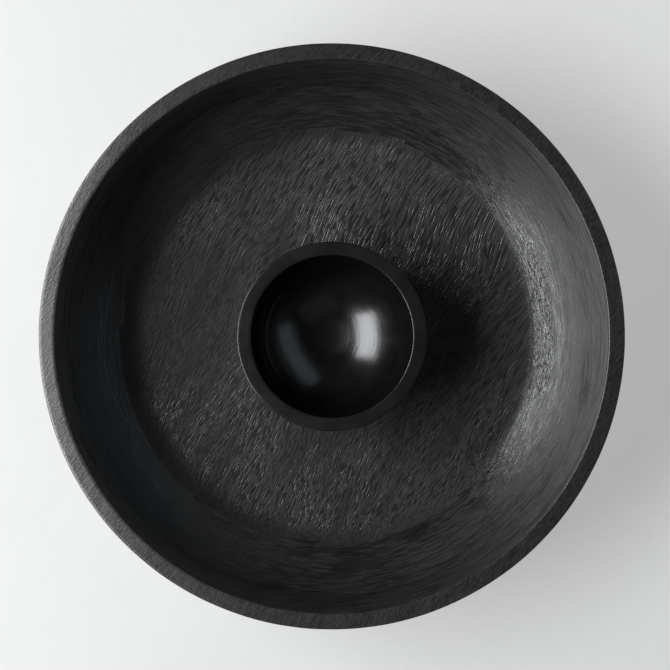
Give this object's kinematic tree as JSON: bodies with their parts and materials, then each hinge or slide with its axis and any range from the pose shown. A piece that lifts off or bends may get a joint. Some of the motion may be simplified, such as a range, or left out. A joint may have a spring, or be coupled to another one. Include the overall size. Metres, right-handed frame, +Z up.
{
  "type": "serving bowl with dip bowl",
  "caption": "Round carved wooden serving bowl with a nearly flat, slightly dished floor, coved sides and a level rim, and a smaller lift-out dip bowl seated in its centre.",
  "frame": {"origin": "centre of the table plane that the base pads stand on", "axes": "+Z up along the turning axis of both bowls and the dip bowl's lift; +X and +Y are any two level directions, with the base pads on the diagonals between them"},
  "size_m": [0.38, 0.38, 0.1],
  "materials": {
    "stained_wood": "black-stained, wire-brushed open-grain wood, dull sheen",
    "lacquered_wood": "smooth black lacquer, satin to semi-gloss",
    "felt": "thin pressed black felt"
  },
  "bodies": {
    "serving_bowl": {"serving_bowl": "stained_wood", "base_pad_1": "felt", "base_pad_2": "felt", "base_pad_3": "felt", "base_pad_4": "felt"},
    "dip_bowl": {"dip_bowl": "lacquered_wood", "dip_bowl_pad": "felt"}
  },
  "joints": [
    {"name": "dip_bowl_lift", "type": "slide", "parent": "serving_bowl", "child": "dip_bowl", "axis": [0, 0, 1], "range_m": [0, 0.1]}
  ]
}
